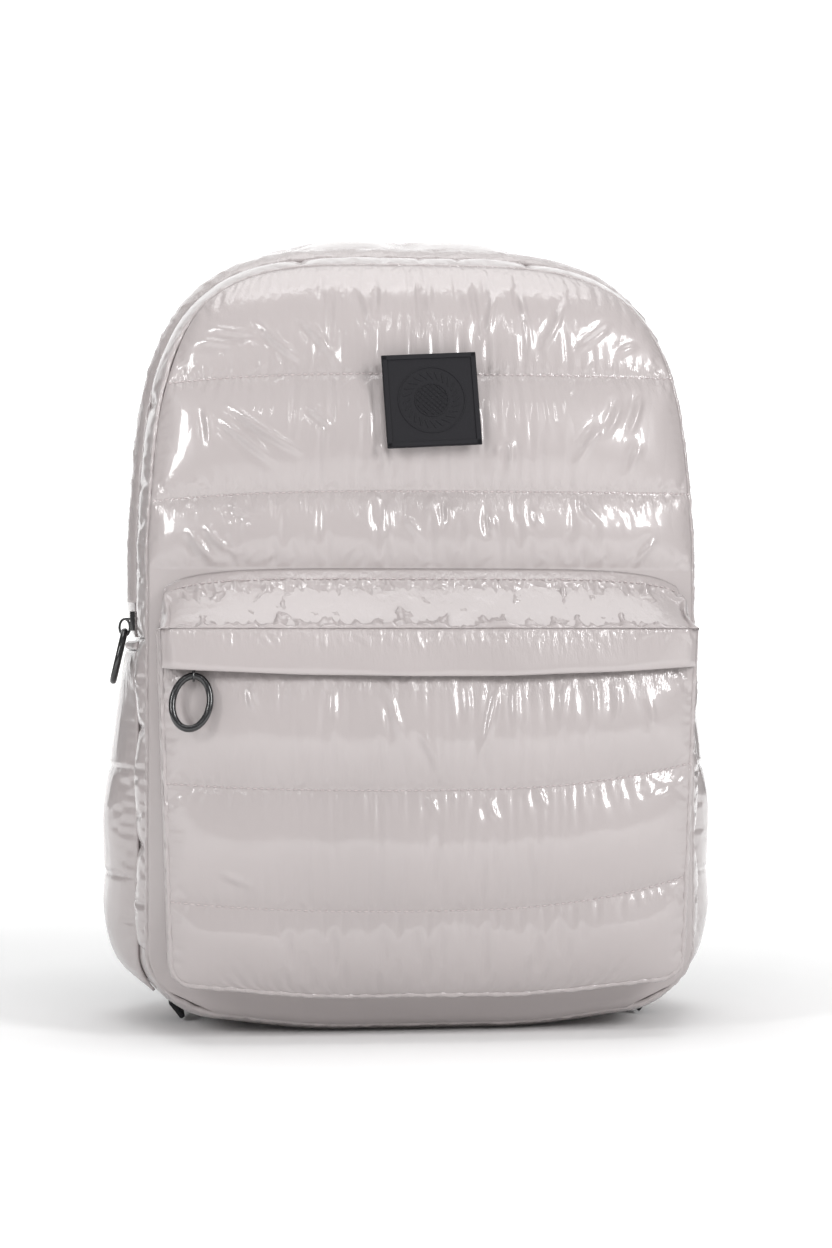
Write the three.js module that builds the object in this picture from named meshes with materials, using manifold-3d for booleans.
// Quilted puffer backpack: padded body with an arched zip, front pocket, side pockets, badge and straps.
// Millimetres. X runs to the viewer's right, Y from the front to the back, Z up. Left is the -X side.
import * as THREE from 'three';
import { mergeVertices } from 'three/addons/utils/BufferGeometryUtils.js';
import Module from 'manifold-3d';

const wasm = await Module();
wasm.setup();

const { lerp, degToRad, smoothstep } = THREE.MathUtils;

// Room left between neighbouring pieces
const GAP = 0.4;

// Body of the bag: its front and back seams carry the gusset between them
const body = {
  halfWidth: 139.5,
  sideSwell: 5, // the gusset bows outwards between its seams
  backSpread: 2.5, // the back seam is wider than the front seam
  frontTop: 393, // height of the front seam
  backTop: 419, // height of the back seam
  depth: 118,
  topLean: 20, // how far the front seam leans back at its top
  leanStart: 150, // height where that lean starts
  shoulderStart: 250, // height where the sides start to round over
  shoulderTaper: 0.06, // half width lost for each millimetre above that
  frontSquareness: 4, // power of the rounded shoulder at the front seam
  backSquareness: 3.3, // and at the back seam, which is rounder
  bottomCorner: 34,
  edgeLift: 5, // the base curls up to its seams by this much
  edgeShare: 0.12, // share of the depth that curls up
  wall: 3,
};

// Quilting, the same on the front and the sides
const quilt = {
  firstSeam: 35,
  pitch: 60,
  seamThickness: 3,
  puff: 11,
  sidePuff: 4.5,
  sideReach: 0.2, // share of the depth in front of the side pockets
};

const frontPanel = {
  bulge: 14, // the whole stuffed front stands out by this much
  columns: 17,
};

const backPanel = {
  thickness: 8,
  bulge: 3,
};

// The arched zip, in shares of the depth from the front seam to the back seam
const zip = {
  end: 201, // height of both its ends
  tapeFrom: 0.28,
  tapeTo: 0.42,
  tapeDrop: 0.8, // the tape lies below the cloth
  coilWidth: 0.036,
  coilHeight: 1.4,
  flapFrom: 0.25,
  flapTo: 0.425,
  flapRaise: 18, // the flap stops this far above its ends, so the slider shows
  flapLift: 2.4,
  flapThickness: 2,
  stripPuff: 1.2,
  wall: 2.4,
};

// Front pocket
const pocket = {
  halfWidthBottom: 128,
  halfWidthTop: 134,
  bottom: 23,
  corner: 12,
  lowerSeam: 66,
  upperSeam: 126,
  zipBottom: 188, // lower edge of its zip tape
  zipHeight: 18, // from there to the front edge of the padded top
  topRise: 30, // from that edge to the padded top's seam on the front panel
  topCorner: 5, // power of the rounded ends of that seam
  depthBottom: 30,
  depthTop: 36,
  bulge: 12,
  puff: 8,
  wall: 2,
  gussetPuff: 1.5,
  topPuff: 5,
  topThickness: 5,
  topEndHeight: 0.08, // share of its rise that is left at both ends
  topEndThickness: 1.2,
  flapOverlap: 1.5, // the flap hangs below the tape by this much
  flapStand: 9.4, // from the zip tape to the flap's outer face
  flapThickness: 1.8,
};
pocket.topEdge = pocket.zipBottom + pocket.zipHeight;
pocket.attachHeight = pocket.topEdge + pocket.topRise;
pocket.flapBottom = pocket.zipBottom - pocket.flapOverlap;

// Side pockets, in shares of the depth. They stop a little below the zip's ends.
const SIDE_POCKET_DROP = 7;
const sidePocket = {
  from: 0.22,
  to: 0.97,
  bottom: 12,
  top: zip.end - SIDE_POCKET_DROP,
  pouch: 13.2,
  pouchPower: 2.2, // a higher power gives the pouch a flatter middle
  bellyShare: 0.3, // share of the height over which the pouch fills out
  wall: 1.6,
  mouth: 2.6, // how far the mouth stands out from the body
  mouthDent: 4, // the elastic draws the body in behind the mouth by this much
  dentReach: 60, // and above and below it over this height
  mouthFrom: 0.42,
  hemHeight: 5,
  hemThickness: 1.8,
};

// Ring pulls and the sliders that hold them
const pull = {
  halfWidth: 10.8,
  halfHeight: 15,
  wire: 1.55,
  clearance: 0.5,
};
const slider = {
  loopWire: 0.65,
  bodyWidth: 8,
  bodyLength: 10,
  bodyThickness: 2.6,
  neckWidth: 2,
};
const pocketSlider = { x: -118, ringTilt: 10, ringLean: 13, halfLoop: 2.7 };
const mainSlider = { raise: 3.5, ringTilt: 0, ringLean: 13, halfLoop: 4.4 };

const badge = {
  size: 48,
  thickness: 1.6,
  border: 2.2,
  borderHeight: 0.7,
  corner: 2.5,
  x: 2,
  height: 320.5,
  turn: 3,
};

// Carrying straps behind the back panel
const strap = {
  topX: 52,
  topHeight: 388,
  lowX: 98,
  lowHeight: 108,
  bow: 34, // how far the strap stands off the back
  lowStand: 10,
  widthTop: 54,
  widthLow: 36,
  thickness: 12,
};
const webbing = { width: 25, thickness: 1.6, anchorX: 122, anchorHeight: 24 };
const buckle = { width: 34, length: 25, thickness: 3, bar: 3.4 };
const haulLoop = { halfSpan: 34, drop: 10, bow: 22, width: 15, thickness: 2.2 };

const materials = {
  shell: { color: 0xc9c0c0, roughness: 0.22, metalness: 0 },
  backing: { color: 0x1b1b1d, roughness: 0.85, metalness: 0 },
  tape: { color: 0xb9afaf, roughness: 0.7, metalness: 0 },
  blackMetal: { color: 0x101012, roughness: 0.25, metalness: 0.6 },
  rubber: { color: 0x161618, roughness: 0.6, metalness: 0 },
  webbing: { color: 0x151517, roughness: 0.9, metalness: 0 },
};

const bag = new THREE.Group();

function add(name, geometry, material, parent = bag) {
  const mesh = new THREE.Mesh(geometry, new THREE.MeshStandardMaterial(materials[material]));
  mesh.name = name;
  parent.add(mesh);
  return mesh;
}

// Closed bodies from triangles of points

function closedGeometry(triangles) {
  const raw = new THREE.BufferGeometry().setFromPoints(triangles.flat());
  const merged = mergeVertices(raw, 1e-3);
  const kept = [];
  const index = merged.index.array;
  for (let i = 0; i < index.length; i += 3) {
    const [a, b, c] = index.slice(i, i + 3);
    if (a !== b && b !== c && c !== a) {
      kept.push([a, b, c]);
    }
  }
  const corner = (i) => new THREE.Vector3().fromBufferAttribute(merged.attributes.position, i);
  const volume = kept.reduce((sum, [a, b, c]) => sum + corner(a).dot(corner(b).cross(corner(c))), 0);
  const facingOut = kept.map(([a, b, c]) => (volume < 0 ? [a, c, b] : [a, b, c]));
  merged.setIndex(facingOut.flat());
  merged.computeVertexNormals();
  return merged;
}

function quad(a, b, c, d) {
  return [[a, b, c], [a, c, d]];
}

// A wall between an outer and an inner grid of points with the same rows and columns
function wallGeometry(outer, inner) {
  const triangles = [];
  const lastRow = outer.length - 1;
  const lastColumn = outer[0].length - 1;
  for (let r = 0; r < lastRow; r += 1) {
    for (let c = 0; c < lastColumn; c += 1) {
      triangles.push(...quad(outer[r][c], outer[r][c + 1], outer[r + 1][c + 1], outer[r + 1][c]));
      triangles.push(...quad(inner[r][c], inner[r + 1][c], inner[r + 1][c + 1], inner[r][c + 1]));
    }
    const right = lastColumn;
    triangles.push(...quad(outer[r + 1][right], outer[r][right], inner[r][right], inner[r + 1][right]));
    triangles.push(...quad(outer[r][0], outer[r + 1][0], inner[r + 1][0], inner[r][0]));
  }
  for (let c = 0; c < lastColumn; c += 1) {
    triangles.push(...quad(inner[0][c], inner[0][c + 1], outer[0][c + 1], outer[0][c]));
    const top = lastRow;
    triangles.push(...quad(outer[top][c], outer[top][c + 1], inner[top][c + 1], inner[top][c]));
  }
  return closedGeometry(triangles);
}

// A body through rings of points, capped at both ends or closed on itself
function loftGeometry(rings, closed = false) {
  const triangles = [];
  const sides = rings[0].length;
  const spans = closed ? rings.length : rings.length - 1;
  for (let i = 0; i < spans; i += 1) {
    const ring = rings[i];
    const next = rings[(i + 1) % rings.length];
    for (let j = 0; j < sides; j += 1) {
      const k = (j + 1) % sides;
      triangles.push(...quad(ring[j], ring[k], next[k], next[j]));
    }
  }
  if (!closed) {
    const last = rings[rings.length - 1];
    for (let j = 1; j < sides - 1; j += 1) {
      triangles.push([rings[0][0], rings[0][j + 1], rings[0][j]]);
      triangles.push([last[0], last[j], last[j + 1]]);
    }
  }
  return closedGeometry(triangles);
}

function toManifold(geometry) {
  const bare = geometry.clone();
  bare.deleteAttribute('normal');
  bare.deleteAttribute('uv');
  const merged = mergeVertices(bare, 1e-3);
  const vertProperties = new Float32Array(merged.attributes.position.array);
  const triVerts = new Uint32Array(merged.index.array);
  return new wasm.Manifold(new wasm.Mesh({ numProp: 3, vertProperties, triVerts }));
}

function fuse(...geometries) {
  const joined = geometries.map(toManifold).reduce((whole, piece) => whole.add(piece));
  const { vertProperties, triVerts } = joined.getMesh();
  const geometry = new THREE.BufferGeometry();
  geometry.setAttribute('position', new THREE.BufferAttribute(vertProperties, 3));
  geometry.setIndex(new THREE.BufferAttribute(triVerts, 1));
  geometry.computeVertexNormals();
  return geometry;
}

// Evenly spaced numbers from the first to the last
function spaced(first, last, count) {
  return Array.from({ length: count }, (_, i) => lerp(first, last, i / (count - 1)));
}

// Shape of the body. The share t runs from 0 at the front seam to 1 at the back seam.

const EDGE_T = GAP / (body.depth - body.topLean);

function sectionAt(t) {
  const curl = Math.max(0, 1 - Math.min(t, 1 - t) / body.edgeShare);
  return {
    halfWidth: body.halfWidth + body.sideSwell * Math.sin(Math.PI * t) + body.backSpread * t,
    top: lerp(body.frontTop, body.backTop, t),
    bottom: body.edgeLift * curl ** 2,
    squareness: lerp(body.frontSquareness, body.backSquareness, t),
  };
}

function depthAt(t, z) {
  const rise = Math.max(0, (z - body.leanStart) / (body.frontTop - body.leanStart));
  return lerp(body.topLean * rise ** 3, body.depth, t);
}

function halfWidthAt(t, z) {
  const section = sectionAt(t);
  if (z > body.shoulderStart) {
    const above = z - body.shoulderStart;
    const power = section.squareness;
    const rise = above / (section.top - body.shoulderStart);
    return (section.halfWidth - body.shoulderTaper * above) * Math.max(0, 1 - rise ** power) ** (1 / power);
  }
  const radius = body.bottomCorner;
  const below = Math.max(0, section.bottom + radius - z);
  return section.halfWidth - radius + Math.sqrt(Math.max(0, radius ** 2 - below ** 2));
}

const OUTLINE_STEPS = 16;
const OUTLINE_SAMPLES = 61;

// Right half of the outline at one share of the depth, from a height up to the middle of the top
function outlineHalf(t, fromZ, count) {
  const section = sectionAt(t);
  const startShare = Math.max(0, (fromZ - body.shoulderStart) / (section.top - body.shoulderStart));
  const startAngle = Math.asin(startShare ** (section.squareness / 2));
  const angles = spaced(startAngle, Math.PI / 2, OUTLINE_STEPS + 1);
  const points = [new THREE.Vector3(halfWidthAt(t, fromZ), depthAt(t, fromZ), fromZ)];
  for (const angle of fromZ < body.shoulderStart ? angles : angles.slice(1)) {
    const share = Math.sin(angle) ** (2 / section.squareness);
    const z = lerp(body.shoulderStart, section.top, share);
    const tapered = section.halfWidth - body.shoulderTaper * (z - body.shoulderStart);
    const x = tapered * Math.abs(Math.cos(angle)) ** (2 / section.squareness);
    points.push(new THREE.Vector3(x, depthAt(t, z), z));
  }
  return new THREE.CatmullRomCurve3(points).getSpacedPoints(count - 1);
}

function mirrored(point) {
  return new THREE.Vector3(-point.x, point.y, point.z);
}

// The whole arch from its left end over the top to its right end
function arch(t, fromZ, count = 12) {
  const right = outlineHalf(t, fromZ, count);
  right[count - 1].x = 0;
  return [...right.map(mirrored), ...right.slice(0, -1).reverse()];
}

// Moves a row of points square to itself in the XZ plane, outwards for a row that runs clockwise from the front
function shiftRow(row, distance) {
  return row.map((point, i) => {
    const before = row[Math.max(0, i - 1)];
    const after = row[Math.min(row.length - 1, i + 1)];
    const outward = new THREE.Vector3(before.z - after.z, 0, after.x - before.x).normalize();
    return point.clone().addScaledVector(outward, typeof distance === 'function' ? distance(i) : distance);
  });
}

// The mouth of a side pocket is widest between its two ends, and tight in front
function mouthShape(t) {
  const share = (t - sidePocket.mouthFrom) / (sidePocket.to - sidePocket.mouthFrom);
  return share > 0 ? Math.sin(Math.PI * Math.min(1, share)) ** 2 : 0;
}

function mouthDent(t, z) {
  const away = Math.abs(z - sidePocket.top - sidePocket.hemHeight) / sidePocket.dentReach;
  return sidePocket.mouthDent * mouthShape(t) * (1 - smoothstep(away, 0, 1));
}

// A strip of the arch: rows of depth share and height above the cloth, and the thickness under them
function archStrip(rows, fromZ, thickness) {
  const lifted = (t, lift) => {
    const row = arch(t, fromZ);
    return shiftRow(row, (i) => lift - mouthDent(t, row[i].z));
  };
  const outer = rows.map(({ t, lift }) => lifted(t, lift));
  const inner = rows.map(({ t, lift, under = 0 }) => lifted(t, lift - thickness + under));
  return wallGeometry(outer, inner);
}

// Height of a surface grid in Y at one place, on its own triangles
function surfaceY(grid, x, z) {
  const triangle = new THREE.Triangle();
  const flat = (p) => new THREE.Vector3(p.x, 0, p.z);
  const weights = new THREE.Vector3();
  const here = new THREE.Vector3(x, 0, z);
  for (let r = 0; r < grid.length - 1; r += 1) {
    for (let c = 0; c < grid[0].length - 1; c += 1) {
      const corners = [grid[r][c], grid[r][c + 1], grid[r + 1][c + 1], grid[r + 1][c]];
      for (const [i, j, k] of [[0, 1, 2], [0, 2, 3]]) {
        triangle.set(flat(corners[i]), flat(corners[j]), flat(corners[k]));
        if (triangle.getArea() > 1e-6 && triangle.containsPoint(here)) {
          triangle.getBarycoord(here, weights);
          return corners[i].y * weights.x + corners[j].y * weights.y + corners[k].y * weights.z;
        }
      }
    }
  }
  const nearest = grid.flat().reduce((best, p) => (flat(p).distanceTo(here) < flat(best).distanceTo(here) ? p : best));
  return nearest.y;
}

// Cross profile of a sewn channel: 0 at its seams and 1 between them
const PILLOW_POWER = 2.2;

function pillow(share) {
  return 1 - Math.abs(2 * share - 1) ** PILLOW_POWER;
}

// Columns closer together towards both edges
function columnShares(count) {
  return spaced(-1, 1, count).map((s) => 1.5 * s - 0.5 * s ** 3);
}

// Panels that fill an outline at the front or the back

// Rows of a panel with rounded bottom corners and a crown on top, as { x, z, u, rise } for each column
function panelRows(t, heights, crownFrom, crownShares, columns) {
  const us = columnShares(columns);
  const rows = heights.map((z) => us.map((u) => ({ x: u * halfWidthAt(t, z), z, u, rise: z })));
  const outline = outlineHalf(t, crownFrom, OUTLINE_SAMPLES);
  const section = sectionAt(t);
  const cornerZ = lerp(body.shoulderStart, section.top, Math.SQRT1_2 ** (2 / section.squareness));
  const turn = outline.findIndex((point) => point.z >= cornerZ);
  const at = (index) => {
    const low = Math.min(OUTLINE_SAMPLES - 2, Math.floor(index));
    return outline[low].clone().lerp(outline[low + 1], index - low);
  };
  const corner = at(turn);
  const base = halfWidthAt(t, crownFrom);
  for (const v of crownShares) {
    const edge = at(v * turn);
    rows.push(us.map((u) => {
      const crown = at(turn + (1 - Math.abs(u)) * (OUTLINE_SAMPLES - 1 - turn));
      const x = u * ((1 - v) * base + edge.x - (1 - v) * base - v * corner.x) + Math.sign(u) * v * crown.x;
      const z = (1 - v) * crownFrom + v * crown.z + edge.z - (1 - v) * crownFrom - v * corner.z;
      return { x, z, u, rise: lerp(crownFrom, section.top, v) };
    }));
  }
  return rows;
}

// Rows of a grid, in shares of the height of a channel, a rounded corner or a pocket
const CHANNEL_SHARES = [0.12, 0.3, 0.5, 0.7, 0.88, 1];
const FRONT_CORNER_SHARES = [0, 0.18, 0.5, 1];
const BACK_CORNER_SHARES = [0, 0.2, 0.5, 1];
const SIDE_SHARES = [0.25, 0.5, 0.75, 1];
const POCKET_TOP_SHARES = [0, 0.15, 0.32, 0.5, 0.7, 0.88, 1];
const SIDE_POCKET_SHARES = [0, 0.04, 0.1, 0.18, 0.3, 0.44, 0.58, 0.7, 0.8, 0.9, 1];

function seamHeights(above, below) {
  const heights = [];
  for (let z = quilt.firstSeam; z < below; z += quilt.pitch) {
    if (z > above) {
      heights.push(z);
    }
  }
  return heights;
}

// Main folds of the front: place in shares of the half width and of the channel, and size in shares of the puff
const frontFolds = [
  { channel: 0, across: -0.55, up: 0.8, spread: 0.09, depth: 0.35 },
  { channel: 0, across: 0.3, up: 0.75, spread: 0.1, depth: 0.3 },
  { channel: 1, across: -0.3, up: 0.25, spread: 0.08, depth: 0.35 },
  { channel: 1, across: 0.45, up: 0.7, spread: 0.1, depth: 0.35 },
  { channel: 1, across: 0.75, up: 0.3, spread: 0.08, depth: 0.3 },
  { channel: 2, across: -0.5, up: 0.6, spread: 0.1, depth: 0.4 },
  { channel: 2, across: 0.35, up: 0.5, spread: 0.09, depth: 0.4 },
  { channel: 2, across: 0.7, up: 0.35, spread: 0.08, depth: 0.35 },
];

const FOLD_HEIGHT = 0.35;

function foldDepth(channel, across, up) {
  return frontFolds.filter((fold) => fold.channel === channel).reduce((sum, fold) => {
    const reach = ((across - fold.across) / fold.spread) ** 2 + ((up - fold.up) / FOLD_HEIGHT) ** 2;
    return sum + fold.depth * Math.exp(-reach);
  }, 0);
}

function makeFrontPanel() {
  const bottom = sectionAt(0).bottom;
  const curve = body.bottomCorner;
  const seams = seamHeights(pocket.attachHeight + quilt.pitch / 4, body.frontTop - quilt.pitch / 2);
  const crownFrom = seams[seams.length - 1];
  const plain = FRONT_CORNER_SHARES.map((share) => bottom + curve * share);
  const behindPocket = spaced(bottom + curve, pocket.attachHeight, 6).slice(1);
  const edges = [pocket.attachHeight, ...seams, body.frontTop];
  const quilted = seams.flatMap((seam, i) => CHANNEL_SHARES.map((share) => lerp(edges[i], seam, share)));
  const rows = panelRows(0, [...plain, ...behindPocket, ...quilted], crownFrom, CHANNEL_SHARES, frontPanel.columns);
  const middle = (bottom + body.frontTop) / 2;
  const outerY = ({ z, u, rise }) => {
    const height = Math.abs(rise - middle) / (body.frontTop - middle);
    const bulge = frontPanel.bulge * (1 - u ** 4) * (1 - height ** 6);
    const channel = edges.findIndex((edge, i) => rise >= edge && rise < edges[i + 1]);
    const share = (rise - edges[channel]) / (edges[channel + 1] - edges[channel]);
    const puff = channel < 0 ? 0 : quilt.puff * pillow(share) * (1 - u ** 6) * (1 - foldDepth(channel, u, share));
    return { inner: depthAt(0, z) - bulge, puff };
  };
  const outer = rows.map((row) => row.map((p) => {
    const { inner, puff } = outerY(p);
    return new THREE.Vector3(p.x, inner - quilt.seamThickness - puff, p.z);
  }));
  const inner = rows.map((row) => row.map((p) => new THREE.Vector3(p.x, outerY(p).inner, p.z)));
  add('front_panel', wallGeometry(outer, inner), 'shell');
  return { outer, inner };
}

function makeBackPanel() {
  const bottom = sectionAt(1).bottom;
  const heights = BACK_CORNER_SHARES.map((share) => bottom + body.bottomCorner * share);
  heights.push(...spaced(bottom + body.bottomCorner, body.shoulderStart, 5).slice(1));
  const rows = panelRows(1, heights, body.shoulderStart, spaced(0, 1, 7).slice(1), 13);
  const middle = body.backTop / 2;
  const nearY = body.depth + GAP;
  const outer = rows.map((row) => row.map(({ x, z, u, rise }) => {
    const height = Math.abs(rise - middle) / middle;
    const bulge = backPanel.bulge * (1 - u ** 4) * Math.max(0, 1 - height ** 4);
    const rounded = backPanel.thickness * (1 - 0.5 * Math.max(u ** 12, Math.min(1, height) ** 16));
    return new THREE.Vector3(x, nearY + rounded + bulge, z);
  }));
  const inner = rows.map((row) => row.map(({ x, z }) => new THREE.Vector3(x, nearY, z)));
  add('back_panel', wallGeometry(outer, inner), 'backing');
  return outer;
}

// The arched gusset with its zip

// Cross profiles of its pieces: place across the piece, and height in shares of the named height
const stripProfile = [
  { across: 0, height: 0 },
  { across: 0.35, height: 1 },
  { across: 0.7, height: 0.8 },
  { across: 1, height: 0 },
];
const flapProfile = [
  { across: 0, height: 0.65 },
  { across: 0.3, height: 1 },
  { across: 0.75, height: 1.15 },
  { across: 1, height: 0.8 },
];

function makeGusset() {
  const profile = (points, from, to, height, base = 0) => points.map((point) => ({
    t: lerp(from, to, point.across), lift: base + height * point.height,
  }));
  const front = profile(stripProfile, EDGE_T, zip.tapeFrom - EDGE_T, zip.stripPuff);
  add('zip_strip_front', archStrip(front, zip.end, body.wall), 'shell');

  const coil = (zip.tapeFrom + zip.tapeTo) / 2;
  const low = { lift: -zip.tapeDrop };
  const ridge = { lift: zip.coilHeight - zip.tapeDrop, under: -zip.coilHeight };
  const tape = [
    { t: zip.tapeFrom, ...low },
    { t: coil - zip.coilWidth / 2, ...low },
    { t: coil - zip.coilWidth / 4, ...ridge },
    { t: coil + zip.coilWidth / 4, ...ridge },
    { t: coil + zip.coilWidth / 2, ...low },
    { t: zip.tapeTo, ...low },
  ];
  add('main_zipper', archStrip(tape, zip.end, zip.wall - zip.tapeDrop), 'tape');

  const flap = profile(flapProfile, zip.flapFrom, zip.flapTo, zip.flapLift, GAP + zip.flapThickness);
  add('main_zip_flap', archStrip(flap, zip.end + zip.flapRaise, zip.flapThickness), 'shell');

  const rear = profile(stripProfile, zip.tapeTo + EDGE_T, 1 - EDGE_T, zip.stripPuff);
  add('zip_strip_rear', archStrip(rear, zip.end, body.wall), 'shell');
}

const BASE_HEIGHT = body.edgeLift + body.bottomCorner;

function makeSidePanel(name, side) {
  const seams = seamHeights(BASE_HEIGHT, zip.end);
  const edges = [quilt.firstSeam, ...seams, zip.end];
  const heights = [BASE_HEIGHT + GAP];
  for (let i = 1; i < edges.length; i += 1) {
    heights.push(...SIDE_SHARES.map((share) => lerp(edges[i - 1], edges[i], share)));
  }
  const rows = heights.filter((z, i) => i === 0 || z > BASE_HEIGHT + 2 * GAP);
  rows[rows.length - 1] = zip.end - GAP;
  const shares = [EDGE_T, 0.25, 0.5, 0.75, 1].map((s, i) => (i === 0 ? s : s * quilt.sideReach));
  shares.push(...spaced(sidePocket.mouthFrom, 1 - EDGE_T, 6));
  const grid = (depth, puffed) => rows.map((z) => shares.map((t) => {
    const channel = edges.findIndex((edge, i) => z < edges[i + 1]);
    const share = (z - edges[channel]) / (edges[channel + 1] - edges[channel]);
    const across = Math.max(0, Math.sin(Math.PI * Math.min(1, t / quilt.sideReach)));
    const puff = puffed ? quilt.sidePuff * pillow(share) * across : 0;
    return new THREE.Vector3(side * (halfWidthAt(t, z) + puff - depth - mouthDent(t, z)), depthAt(t, z), z);
  }));
  add(name, wallGeometry(grid(0, true), grid(body.wall, false)), 'shell');
}

// Outline of the base from the right side round both corners to the left side
function baseOutline(t) {
  const section = sectionAt(t);
  const radius = body.bottomCorner;
  const top = section.bottom + radius;
  const turn = spaced(0, Math.PI / 2, 7).map((angle) => new THREE.Vector3(
    section.halfWidth - radius + radius * Math.cos(angle),
    depthAt(t, 0),
    top - radius * Math.sin(angle),
  ));
  turn[0].z = BASE_HEIGHT;
  return [...turn, ...turn.map(mirrored).reverse()];
}

function makeBase() {
  const curl = body.edgeShare;
  const shares = [EDGE_T, curl * 0.3, curl * 0.6, curl, 0.5, 1 - curl, 1 - curl * 0.6, 1 - curl * 0.3, 1 - EDGE_T];
  const outer = shares.map((t) => baseOutline(t));
  const inner = outer.map((row) => shiftRow(row, -body.wall));
  add('base_panel', wallGeometry(outer, inner), 'shell');
}

// Front pocket. Across it u runs from -1 to 1.

function pocketHalfWidth(z) {
  const share = (z - pocket.bottom) / (pocket.topEdge - pocket.bottom);
  const below = Math.max(0, pocket.bottom + pocket.corner - z);
  const corner = pocket.corner - Math.sqrt(Math.max(0, pocket.corner ** 2 - below ** 2));
  return lerp(pocket.halfWidthBottom, pocket.halfWidthTop, share) - corner;
}

function pocketRimY(z) {
  const share = (z - pocket.bottom) / (pocket.topEdge - pocket.bottom);
  return -lerp(pocket.depthBottom, pocket.depthTop, share);
}

function pocketFaceY(u, z) {
  const share = (z - pocket.bottom) / (pocket.topEdge - pocket.bottom);
  const upright = Math.max(0, 1 - Math.abs(2 * share - 1) ** 3);
  return pocketRimY(z) - pocket.bulge * (1 - Math.abs(u) ** 3) * upright;
}

function pocketGrid(heights, us, lift) {
  return heights.map((z) => us.map((u) => {
    return new THREE.Vector3(u * pocketHalfWidth(z), pocketFaceY(u, z) - lift(u, z), z);
  }));
}

function makePocketFront() {
  const edges = [pocket.bottom, pocket.lowerSeam, pocket.upperSeam, pocket.zipBottom - GAP];
  const heights = [pocket.bottom];
  for (let i = 1; i < edges.length; i += 1) {
    heights.push(...CHANNEL_SHARES.map((share) => lerp(edges[i - 1], edges[i], share)));
  }
  const us = columnShares(15);
  const puff = (u, z) => {
    const channel = Math.max(0, edges.findIndex((edge, i) => z < edges[i + 1]));
    const share = Math.min(1, (z - edges[channel]) / (edges[channel + 1] - edges[channel]));
    return pocket.puff * pillow(share) * (1 - u ** 4);
  };
  const outer = pocketGrid(heights, us, puff);
  const inner = pocketGrid(heights, us, () => -pocket.wall);
  add('pocket_front', wallGeometry(outer, inner), 'shell');
}

function makePocketZip() {
  const us = columnShares(15);
  const top = pocket.topEdge - GAP;
  const middle = (pocket.zipBottom + top) / 2;
  const coil = (zip.coilWidth * body.depth) / 2;
  const heights = [pocket.zipBottom, middle - coil, middle - coil / 2, middle + coil / 2, middle + coil, top];
  const ridge = (u, z) => (Math.abs(z - middle) < coil ? zip.coilHeight : 0) - zip.tapeDrop;
  const outer = pocketGrid(heights, us, ridge);
  const inner = pocketGrid(heights, us, () => -zip.wall);
  add('pocket_zipper', wallGeometry(outer, inner), 'tape');

  const flapHeights = [pocket.flapBottom, lerp(pocket.flapBottom, top, 0.3), top];
  const stand = pocket.flapStand - zip.tapeDrop;
  const face = pocketGrid(flapHeights, us, () => stand);
  const under = pocketGrid(flapHeights, us, () => stand - pocket.flapThickness);
  add('pocket_zip_flap', wallGeometry(face, under), 'shell');
}

function makePocketTop(panel) {
  const us = columnShares(19);
  const rise = pocket.attachHeight - pocket.topEdge;
  const halfWidth = pocketHalfWidth(pocket.topEdge);
  const onPanel = (x, z) => new THREE.Vector3(x, surfaceY(panel, x, z) - GAP, z);
  const columns = us.map((u) => {
    const x = u * halfWidth;
    const rounded = Math.max(0, 1 - Math.abs(u) ** pocket.topCorner) ** (1 / pocket.topCorner);
    const height = lerp(pocket.topEndHeight, 1, rounded);
    const back = onPanel(x, pocket.topEdge + rise * height);
    const backUnder = onPanel(x, back.z - lerp(pocket.topEndThickness, pocket.topThickness, height));
    const faceY = pocketFaceY(u, pocket.topEdge);
    const front = new THREE.Vector3(x, faceY - pocket.flapStand, pocket.topEdge);
    const frontUnder = new THREE.Vector3(x, faceY + zip.wall, pocket.topEdge);
    return { back, backUnder, front, frontUnder, height };
  });
  const shares = POCKET_TOP_SHARES;
  const outer = shares.map((s) => columns.map(({ back, front, height }) => {
    const point = back.clone().lerp(front, s);
    const puff = pocket.topPuff * pillow(s) * height;
    return point.add(new THREE.Vector3(0, -puff, puff).multiplyScalar(Math.SQRT1_2));
  }));
  const inner = shares.map((s) => columns.map(({ backUnder, frontUnder }) => backUnder.clone().lerp(frontUnder, s)));
  add('pocket_top', wallGeometry(outer, inner), 'shell');
}

function makePocketGusset(panel) {
  const top = pocket.topEdge - GAP;
  const down = spaced(top, pocket.bottom + pocket.corner, 9).map((z) => ({ x: pocketHalfWidth(z), z }));
  const straight = pocketHalfWidth(pocket.bottom + pocket.corner) - pocket.corner;
  const corner = spaced(0, Math.PI / 2, 5).slice(1).map((angle) => ({
    x: straight + pocket.corner * Math.cos(angle),
    z: pocket.bottom + pocket.corner - pocket.corner * Math.sin(angle),
  }));
  const along = spaced(straight, 0, 7).slice(1).map((x) => ({ x, z: pocket.bottom }));
  const half = [...down, ...corner, ...along];
  const path = [...half, ...half.slice(0, -1).reverse().map(({ x, z }) => ({ x: -x, z }))];
  const flat = path.map(({ x, z }) => new THREE.Vector3(x, 0, z));
  const place = (row, share) => row.map((p) => {
    const frontY = pocketRimY(p.z) + pocket.wall + GAP;
    const backY = surfaceY(panel, p.x, p.z) - GAP;
    return new THREE.Vector3(p.x, lerp(frontY, backY, share), p.z);
  });
  const shares = [0, 0.5, 1];
  const outer = shares.map((s) => place(shiftRow(flat, pocket.gussetPuff * Math.sin(Math.PI * s)), s));
  const inner = shares.map((s) => place(shiftRow(flat, -pocket.wall), s));
  add('pocket_gusset', wallGeometry(outer, inner), 'shell');
}

// Side pockets with their elastic hems

function mouthOpening(t) {
  return sidePocket.mouth * mouthShape(t);
}

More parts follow.
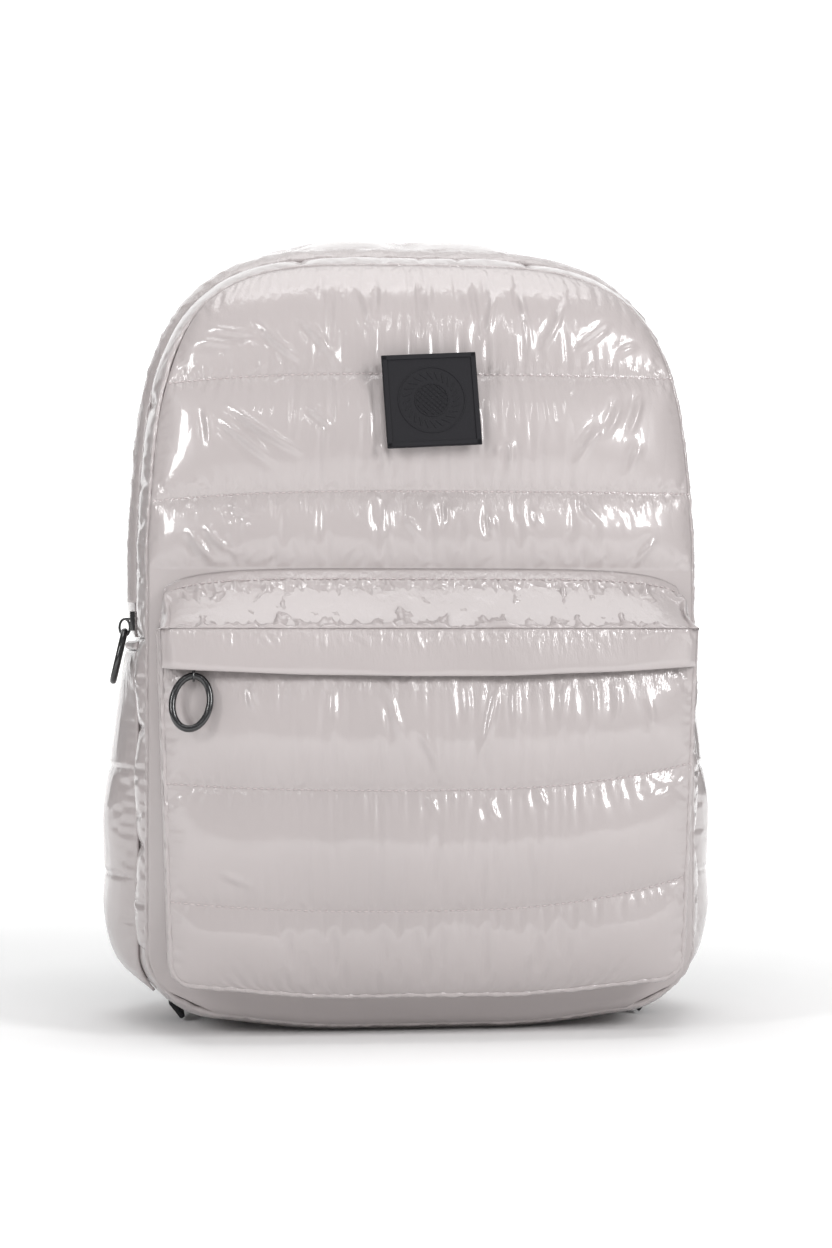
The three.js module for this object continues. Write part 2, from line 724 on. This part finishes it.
function pouchDepth(t, z) {
  const share = (z - sidePocket.bottom) / (sidePocket.top - sidePocket.bottom);
  const middle = (sidePocket.from + sidePocket.to) / 2;
  const across = Math.max(0, 1 - (Math.abs(t - middle) / (sidePocket.to - middle)) ** sidePocket.pouchPower);
  const belly = 1 - Math.max(0, 1 - share / sidePocket.bellyShare) ** 2;
  return lerp(sidePocket.pouch * across * belly, mouthOpening(t), smoothstep(share, 0.5, 1));
}

function makeSidePocket(pocketName, hemName, side) {
  const shares = [...spaced(sidePocket.from, sidePocket.mouthFrom, 3), 0.52, 0.62, 0.72, 0.82, 0.9, sidePocket.to];
  const heights = SIDE_POCKET_SHARES.map((share) => lerp(sidePocket.bottom, sidePocket.top, share));
  // Each column is a piece of the outline at one share of the depth, from the top down
  const column = (t, zs, offset) => {
    const line = zs.map((z) => new THREE.Vector3(halfWidthAt(t, z), depthAt(t, z), z)).reverse();
    return shiftRow(line, (i) => offset(t, line[i].z)).map((p) => new THREE.Vector3(side * p.x, p.y, p.z));
  };
  const grid = (zs, offset) => shares.map((t) => column(t, zs, offset));
  const outer = grid(heights, (t, z) => GAP + sidePocket.wall + pouchDepth(t, z));
  const inner = grid(heights, (t, z) => GAP + pouchDepth(t, z));
  add(pocketName, wallGeometry(outer, inner), 'shell');

  const hemHeights = [sidePocket.top + GAP, sidePocket.top + GAP + sidePocket.hemHeight];
  const hemOuter = grid(hemHeights, (t) => GAP + sidePocket.hemThickness + mouthOpening(t));
  const hemInner = grid(hemHeights, (t) => GAP + mouthOpening(t));
  add(hemName, wallGeometry(hemOuter, hemInner), 'shell');
}

// Ring pulls and sliders. Both are made hanging from the hinge at their origin, with the hinge along X
// and the bag behind them, towards +Y.

// A wire bent into an ellipse in the plane of two unit vectors
function wireLoop(centre, across, up, halfAcross, halfUp, wire, steps, sides) {
  const axis = across.clone().cross(up);
  const rings = spaced(0, 2 * Math.PI, steps + 1).slice(0, -1).map((angle) => {
    const point = centre.clone()
      .addScaledVector(across, halfAcross * Math.cos(angle))
      .addScaledVector(up, halfUp * Math.sin(angle));
    const outward = across.clone().multiplyScalar(halfUp * Math.cos(angle))
      .addScaledVector(up, halfAcross * Math.sin(angle)).normalize();
    return spaced(0, 2 * Math.PI, sides + 1).slice(0, -1).map((turn) => point.clone()
      .addScaledVector(outward, wire * Math.cos(turn))
      .addScaledVector(axis, wire * Math.sin(turn)));
  });
  return loftGeometry(rings, true);
}

const X = new THREE.Vector3(1, 0, 0);
const Y = new THREE.Vector3(0, 1, 0);
const Z = new THREE.Vector3(0, 0, 1);

function ringGeometry(tilt, lean) {
  const halfAcross = pull.halfWidth - pull.wire;
  const halfUp = pull.halfHeight - pull.wire;
  const angle = degToRad(tilt);
  const across = X.clone().multiplyScalar(Math.cos(angle)).addScaledVector(Z, -Math.sin(angle));
  const up = X.clone().multiplyScalar(Math.sin(angle)).addScaledVector(Z, Math.cos(angle));
  // The highest point of the tilted ellipse lies on the hinge
  const reach = Math.hypot(halfAcross * Math.sin(angle), halfUp * Math.cos(angle));
  const aside = ((halfUp ** 2 - halfAcross ** 2) * Math.sin(angle) * Math.cos(angle)) / reach;
  const centre = new THREE.Vector3(-aside, 0, -reach);
  const ring = wireLoop(centre, across, up, halfAcross, halfUp, pull.wire, 20, 8);
  return ring.applyMatrix4(new THREE.Matrix4().makeRotationX(-degToRad(lean)));
}

const LOOP_INSIDE = pull.wire + pull.clearance;
// From the hinge to the tape that the slider runs on
const SLIDER_STAND = LOOP_INSIDE + slider.loopWire + slider.bodyThickness + GAP;

function boxBetween(x, y, z) {
  const box = new THREE.BoxGeometry(x[1] - x[0], y[1] - y[0], z[1] - z[0]);
  return box.translate((x[0] + x[1]) / 2, (y[0] + y[1]) / 2, (z[0] + z[1]) / 2);
}

// The plate starts at plateFrom above the hinge, and a neck carries the loop
function sliderGeometry(halfAlong, plateFrom) {
  const halfOut = LOOP_INSIDE + slider.loopWire;
  const centreZ = halfAlong - halfOut;
  const loop = wireLoop(new THREE.Vector3(0, 0, centreZ), Y, Z, halfOut, halfAlong, slider.loopWire, 14, 6);
  const back = SLIDER_STAND - GAP;
  const front = back - slider.bodyThickness;
  const width = slider.bodyWidth / 2;
  const neck = slider.neckWidth / 2;
  const loopTop = centreZ + halfAlong;
  const neckTop = Math.max(loopTop, plateFrom) + slider.loopWire;
  const plate = boxBetween([-width, width], [front, back], [plateFrom, plateFrom + slider.bodyLength]);
  const bridge = boxBetween([-neck, neck], [0, (front + back) / 2], [loopTop - slider.loopWire, neckTop]);
  return fuse(loop, plate, bridge);
}

function addPull(names, hinge, facing, { ringTilt, ringLean, halfLoop }, plateFrom) {
  const holder = new THREE.Group();
  holder.position.copy(hinge);
  holder.rotation.z = facing;
  bag.add(holder);
  add(names.slider, sliderGeometry(halfLoop, plateFrom), 'blackMetal', holder);
  add(names.pull, ringGeometry(ringTilt, ringLean), 'blackMetal', holder);
}

function makePulls() {
  const loopTop = 2 * pocketSlider.halfLoop - LOOP_INSIDE;
  const hingeZ = pocket.flapBottom - GAP - loopTop;
  const u = pocketSlider.x / pocketHalfWidth(pocket.zipBottom);
  const coil = zip.coilHeight - zip.tapeDrop;
  const pocketHinge = new THREE.Vector3(pocketSlider.x, pocketFaceY(u, hingeZ) - coil - SLIDER_STAND, hingeZ);
  const plateFrom = pocket.zipBottom + GAP - hingeZ;
  addPull({ slider: 'pocket_zip_slider', pull: 'pocket_zip_pull' }, pocketHinge, 0, pocketSlider, plateFrom);

  const t = (zip.tapeFrom + zip.tapeTo) / 2;
  const height = zip.end + mainSlider.raise;
  const mainHinge = new THREE.Vector3(-halfWidthAt(t, height) - coil - SLIDER_STAND, depthAt(t, height), height);
  addPull({ slider: 'main_zip_slider', pull: 'main_zip_pull' }, mainHinge, -Math.PI / 2, mainSlider, 0);
}

// Square badge with a raised border, lying on the puffed front

function roundedSquare(half, radius) {
  const shape = new THREE.Shape();
  shape.moveTo(half - radius, -half);
  shape.absarc(half - radius, radius - half, radius, -Math.PI / 2, 0);
  shape.absarc(half - radius, half - radius, radius, 0, Math.PI / 2);
  shape.absarc(radius - half, half - radius, radius, Math.PI / 2, Math.PI);
  shape.absarc(radius - half, radius - half, radius, Math.PI, Math.PI * 1.5);
  shape.closePath();
  return shape;
}

function makeBadge({ outer, inner }) {
  const half = badge.size / 2;
  const plate = new THREE.ExtrudeGeometry(roundedSquare(half, badge.corner), {
    depth: badge.thickness, bevelEnabled: false, curveSegments: 3,
  });
  const rim = roundedSquare(half - 0.3, badge.corner);
  rim.holes.push(roundedSquare(half - badge.border, badge.corner / 2));
  const border = new THREE.ExtrudeGeometry(rim, {
    depth: badge.borderHeight + badge.thickness / 2, bevelEnabled: false, curveSegments: 3,
  }).translate(0, 0, badge.thickness / 2);
  const geometry = fuse(plate, border).rotateX(Math.PI / 2).rotateY(degToRad(-badge.turn));

  // The badge leans with the smooth inside of the front and touches the puffed bands
  const places = spaced(-half, half, 7);
  const frontMost = (z) => Math.min(...places.map((x) => surfaceY(outer, badge.x + x, z)));
  const heights = spaced(-half, half, 13).map((dz) => ({ dz, y: frontMost(badge.height + dz) }));
  const smooth = (z) => surfaceY(inner, badge.x, z);
  const lean = (smooth(badge.height + half) - smooth(badge.height - half)) / badge.size;
  const seat = Math.min(...heights.map(({ dz, y }) => y - lean * dz));
  const mesh = add('badge', geometry, 'rubber');
  mesh.rotation.x = -Math.atan(lean);
  mesh.position.set(badge.x, seat - GAP, badge.height);
}

// Straps at the back

// The pads are pressed flat at both ends, to this share of their thickness
const STRAP_END = 0.55;

// Places along a curve, evenly spaced by length, or with as many between each two of its points
function evenPlaces(curve, count) {
  return spaced(0, 1, count).map((s) => ({ s, point: curve.getPointAt(s), tangent: curve.getTangentAt(s) }));
}

function placesByPoint(curve, count) {
  return spaced(0, 1, count).map((s) => ({ s, point: curve.getPoint(s), tangent: curve.getTangent(s) }));
}

// Rings of a flat band, with a width and a thickness at each place
function bandRings(places, size, widthAxis, sides, roundness) {
  return places.map(({ s, point, tangent }) => {
    const wide = widthAxis.clone().addScaledVector(tangent, -widthAxis.dot(tangent)).normalize();
    const thick = tangent.clone().cross(wide);
    const { width, thickness } = size(s);
    return spaced(0, 2 * Math.PI, sides + 1).slice(0, -1).map((turn) => {
      const angle = turn + Math.PI / sides;
      const c = Math.sign(Math.cos(angle)) * Math.abs(Math.cos(angle)) ** roundness;
      const d = Math.sign(Math.sin(angle)) * Math.abs(Math.sin(angle)) ** roundness;
      return point.clone().addScaledVector(wide, (c * width) / 2).addScaledVector(thick, (d * thickness) / 2);
    });
  });
}

// A square section has its corners at full width and thickness
function webRings(places, width, thickness, widthAxis) {
  const grown = { width: width * Math.SQRT2, thickness: thickness * Math.SQRT2 };
  return bandRings(places, () => grown, widthAxis, 4, 1);
}

// Route of a strap, in shares of its length from the top and of its bow
const strapRoute = [
  { down: 0.12, out: 0.32 },
  { down: 0.35, out: 0.9 },
  { down: 0.6, out: 1 },
  { down: 0.83, out: 0.5 },
];
const STRAP_RINGS = 17;
const STRAP_TAPER_FROM = 0.3; // shares of the length where it starts to narrow, is full and thins out again
const STRAP_FULL_FROM = 0.12;
const STRAP_FULL_TO = 0.92;
const WEB_RINGS = 36;
const WEB_BEND = 1.15; // the webbing passes a buckle's bars at this many times its nearest distance
const WEB_CROWN = 1.05;

function makeStrap(side, word, backGrid) {
  const half = strap.thickness / 2;
  const onBack = (x, z) => surfaceY(backGrid, x, z) + GAP;
  const placed = (x, lift, z) => new THREE.Vector3(side * x, onBack(x, z) + lift, z);
  const top = placed(strap.topX, half * STRAP_END, strap.topHeight);
  const low = placed(strap.lowX, strap.lowStand, strap.lowHeight);
  const anchor = placed(webbing.anchorX, webbing.thickness, webbing.anchorHeight);
  const down = anchor.clone().sub(low).normalize();
  const bowed = strapRoute.map(({ down: share, out }) => (
    top.clone().lerp(low, share).add(new THREE.Vector3(0, out * strap.bow, 0))));
  const beforeEnd = low.clone().addScaledVector(down, -strap.lowStand);
  const points = [top, ...bowed, beforeEnd, low];
  const fullness = (s) => smoothstep(s, 0, STRAP_FULL_FROM) * (1 - smoothstep(s, STRAP_FULL_TO, 1));
  const size = (s) => ({
    width: lerp(strap.widthTop, strap.widthLow, smoothstep(s, STRAP_TAPER_FROM, 1)),
    thickness: strap.thickness * lerp(STRAP_END, 1, fullness(s)),
  });
  const pad = bandRings(evenPlaces(new THREE.CatmullRomCurve3(points), STRAP_RINGS), size, X, 10, 0.55);
  add(`shoulder_strap_${word}`, loftGeometry(pad), 'backing');

  const wide = X.clone().addScaledVector(down, -X.dot(down)).normalize();
  const out = down.clone().cross(wide).multiplyScalar(-1);
  const halfLength = buckle.length / 2;
  const middle = low.clone().addScaledVector(down, halfLength + GAP);
  const place = (distance, lift) => middle.clone().addScaledVector(down, distance).addScaledVector(out, lift);
  const over = buckle.thickness / 2 + GAP + webbing.thickness / 2;
  const nearBar = buckle.bar / 2 + webbing.thickness / 2;
  const farBar = halfLength - buckle.bar - webbing.thickness / 2;
  const outside = over * WEB_BEND;
  const route = [
    place(-halfLength + buckle.bar / 4, -outside),
    place(-farBar, -outside),
    place(-nearBar, outside),
    place(0, outside * WEB_CROWN),
    place(nearBar, outside),
    place(farBar, -outside),
    place(halfLength + buckle.bar, -outside),
    anchor,
  ];
  const web = webRings(placesByPoint(new THREE.CatmullRomCurve3(route), WEB_RINGS), webbing.width,
    webbing.thickness, wide);
  add(`strap_web_${word}`, loftGeometry(web), 'webbing');

  const frame = new THREE.Shape();
  const w = buckle.width / 2;
  frame.moveTo(-w, -halfLength).lineTo(w, -halfLength).lineTo(w, halfLength).lineTo(-w, halfLength).closePath();
  const slotHalfWidth = w - buckle.bar;
  for (const [from, to] of [[-halfLength + buckle.bar, -buckle.bar / 2], [buckle.bar / 2, halfLength - buckle.bar]]) {
    const hole = new THREE.Path();
    hole.moveTo(-slotHalfWidth, from).lineTo(slotHalfWidth, from).lineTo(slotHalfWidth, to);
    hole.lineTo(-slotHalfWidth, to).closePath();
    frame.holes.push(hole);
  }
  const geometry = new THREE.ExtrudeGeometry(frame, { depth: buckle.thickness, bevelEnabled: false });
  geometry.translate(0, 0, -buckle.thickness / 2);
  const mesh = add(`strap_buckle_${word}`, geometry, 'rubber');
  mesh.quaternion.setFromRotationMatrix(new THREE.Matrix4().makeBasis(wide, down, wide.clone().cross(down)));
  mesh.position.copy(middle);
}

// From its middle to one sewn end, in shares of the half span and of the bow
const haulLoopRoute = [
  { across: 0, out: 1 },
  { across: 0.5, out: 0.85 },
  { across: 0.95, out: 0.12 },
  { across: 1.25, out: 0 },
];
const HAUL_LOOP_RINGS = 19;

function makeHaulLoop(backGrid) {
  const height = body.backTop - haulLoop.drop;
  const y = surfaceY(backGrid, haulLoop.halfSpan, height) + GAP + haulLoop.thickness;
  const half = haulLoopRoute.map(({ across, out }) => (
    new THREE.Vector3(across * haulLoop.halfSpan, y + out * haulLoop.bow, height)));
  const curve = new THREE.CatmullRomCurve3([...half.slice(1).reverse().map(mirrored), ...half]);
  const rings = webRings(evenPlaces(curve, HAUL_LOOP_RINGS), haulLoop.width, haulLoop.thickness, Z);
  add('haul_loop', loftGeometry(rings), 'webbing');
}

// Assembly

const panel = makeFrontPanel();
const back = makeBackPanel();
makeGusset();
makeBase();
makePocketFront();
makePocketZip();
makePocketTop(panel.outer);
makePocketGusset(panel.outer);
for (const [side, word] of [[-1, 'left'], [1, 'right']]) {
  makeSidePanel(`side_panel_${word}`, side);
  makeSidePocket(`side_pocket_${word}`, `side_hem_${word}`, side);
  makeStrap(side, word, back);
}
makePulls();
makeBadge(panel);
makeHaulLoop(back);

// The bag stands with the middle of its outer box over the origin
const backpack = new THREE.Group();
backpack.add(bag);
const box = new THREE.Box3().setFromObject(bag, true);
bag.position.set(-(box.min.x + box.max.x) / 2, -(box.min.y + box.max.y) / 2, -box.min.z);

export default backpack;
